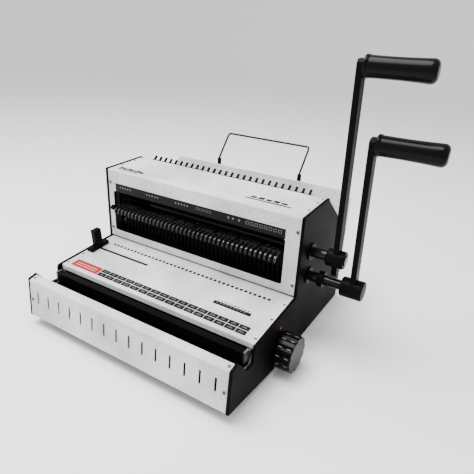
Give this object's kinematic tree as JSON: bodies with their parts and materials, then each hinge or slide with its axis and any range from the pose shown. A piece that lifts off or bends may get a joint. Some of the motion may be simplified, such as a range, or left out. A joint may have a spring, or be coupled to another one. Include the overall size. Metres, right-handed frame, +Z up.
{
  "type": "comb binding machine",
  "caption": "Manual desktop punch and binding machine with side levers, a windowed punch housing, a sloping paper table, a slotted closing rail and a toothed rear comb.",
  "frame": {"origin": "middle of the overall box, at the level of the table top that the feet stand on", "axes": "+X to the operator's right, along both lever shafts; +Y away from the operator; +Z up"},
  "size_m": [0.5664, 0.4449, 0.4565],
  "materials": {
    "silver_paint": "light silver-grey powder coat, fine texture",
    "black_cover": "black powder coat, fine texture",
    "black_steel": "satin black",
    "plated_steel": "zinc plated and ground",
    "chrome": "bright plated",
    "rubber": "matt black",
    "grip_rubber": "satin black, firm"
  },
  "bodies": {
    "chassis": {"base_plate": "plated_steel", "left_side_frame": "plated_steel", "right_side_frame": "plated_steel", "left_side_cover": "black_cover", "right_side_cover": "black_cover", "table_panel": "silver_paint", "upper_cover": "silver_paint", "rear_slope_cover": "silver_paint", "rear_plate": "silver_paint", "closing_rail": "silver_paint", "channel_floor": "black_steel", "front_wall": "black_steel", "die_block": "plated_steel", "die_support": "plated_steel", "pin_guide": "black_steel", "tie_rod": "black_steel", "punch_bush_left": "black_steel", "punch_bush_right": "black_steel", "closing_bush_left": "black_steel", "closing_bush_right": "black_steel", "punch_return_spring": "black_steel", "foot_front_left": "rubber", "foot_front_right": "rubber", "foot_rear_left": "rubber", "foot_rear_right": "rubber", "binding_comb": "black_steel", "rack_socket_left": "black_steel", "rack_socket_right": "black_steel"},
    "punch_lever": {"punch_arm": "black_steel", "punch_grip": "grip_rubber", "punch_shaft": "black_steel", "punch_cam_left": "plated_steel", "punch_cam_right": "plated_steel"},
    "pressure_bar": {"punch_bar": "black_steel", "punch_pins": "black_steel"},
    "pull_group_1": {"pin_pulls_1": "black_steel"},
    "pull_group_2": {"pin_pulls_2": "black_steel"},
    "pull_group_3": {"pin_pulls_3": "black_steel"},
    "pull_group_4": {"pin_pulls_4": "black_steel"},
    "pull_group_5": {"pin_pulls_5": "black_steel"},
    "pull_group_6": {"pin_pulls_6": "black_steel"},
    "pull_group_7": {"pin_pulls_7": "black_steel"},
    "pull_group_8": {"pin_pulls_8": "black_steel"},
    "closing_lever": {"closing_arm": "black_steel", "closing_grip": "grip_rubber", "closing_shaft": "black_steel", "closing_collar": "black_steel", "closing_crank_left": "plated_steel", "closing_crank_right": "plated_steel"},
    "closing_press": {"closing_bar": "black_steel", "closing_link_left": "plated_steel", "closing_link_right": "plated_steel"},
    "knob": {"size_knob": "grip_rubber", "knob_shaft": "chrome", "stop_cam": "plated_steel"},
    "paper_guide": {"edge_guide": "black_cover", "guide_stud": "chrome"},
    "rack": {"wire_rack": "black_steel"},
    "drawer": {"chad_drawer": "black_cover", "drawer_handle": "chrome"}
  },
  "joints": [
    {"name": "punch_lever_turn", "type": "hinge", "parent": "chassis", "child": "punch_lever", "pos_m": [-0.08238, 0.00755, 0.166], "axis": [1, 0, 0], "range_deg": [0, 75], "stiffness_Nm_per_rad": 1.5, "springref_deg": -28.65},
    {"name": "pressure_bar_slide", "type": "slide", "parent": "chassis", "child": "pressure_bar", "axis": [0, 0, -1], "range_m": [0, 0.0121]},
    {"name": "pin_pull_1_slide", "type": "slide", "parent": "pressure_bar", "child": "pull_group_1", "axis": [0, -1, 0], "range_m": [0, 0.006]},
    {"name": "pin_pull_2_slide", "type": "slide", "parent": "pressure_bar", "child": "pull_group_2", "axis": [0, -1, 0], "range_m": [0, 0.006]},
    {"name": "pin_pull_3_slide", "type": "slide", "parent": "pressure_bar", "child": "pull_group_3", "axis": [0, -1, 0], "range_m": [0, 0.006]},
    {"name": "pin_pull_4_slide", "type": "slide", "parent": "pressure_bar", "child": "pull_group_4", "axis": [0, -1, 0], "range_m": [0, 0.006]},
    {"name": "pin_pull_5_slide", "type": "slide", "parent": "pressure_bar", "child": "pull_group_5", "axis": [0, -1, 0], "range_m": [0, 0.006]},
    {"name": "pin_pull_6_slide", "type": "slide", "parent": "pressure_bar", "child": "pull_group_6", "axis": [0, -1, 0], "range_m": [0, 0.006]},
    {"name": "pin_pull_7_slide", "type": "slide", "parent": "pressure_bar", "child": "pull_group_7", "axis": [0, -1, 0], "range_m": [0, 0.006]},
    {"name": "pin_pull_8_slide", "type": "slide", "parent": "pressure_bar", "child": "pull_group_8", "axis": [0, -1, 0], "range_m": [0, 0.006]},
    {"name": "closing_lever_turn", "type": "hinge", "parent": "chassis", "child": "closing_lever", "pos_m": [-0.08238, 0.00755, 0.124], "axis": [1, 0, 0], "range_deg": [0, 70]},
    {"name": "closing_press_slide", "type": "slide", "parent": "chassis", "child": "closing_press", "axis": [0, -1, 0], "range_m": [0, 0.0231]},
    {"name": "size_knob_turn", "type": "hinge", "parent": "chassis", "child": "knob", "pos_m": [0.11843, -0.08045, 0.036], "axis": [1, 0, 0], "range_deg": [0, 270]},
    {"name": "edge_guide_slide", "type": "slide", "parent": "chassis", "child": "paper_guide", "axis": [1, 0, 0], "range_m": [0, 0.11]},
    {"name": "wire_rack_slide", "type": "slide", "parent": "chassis", "child": "rack", "axis": [0, 0, 1], "range_m": [0, 0.025]},
    {"name": "chad_drawer_slide", "type": "slide", "parent": "chassis", "child": "drawer", "axis": [0, 1, 0], "range_m": [0, 0.15]}
  ],
  "couplings": [
    {"joint": "pressure_bar_slide", "follows": "punch_lever_turn", "m_per_rad": 0.0091673},
    {"joint": "closing_press_slide", "follows": "closing_lever_turn", "m_per_rad": 0.018777}
  ]
}
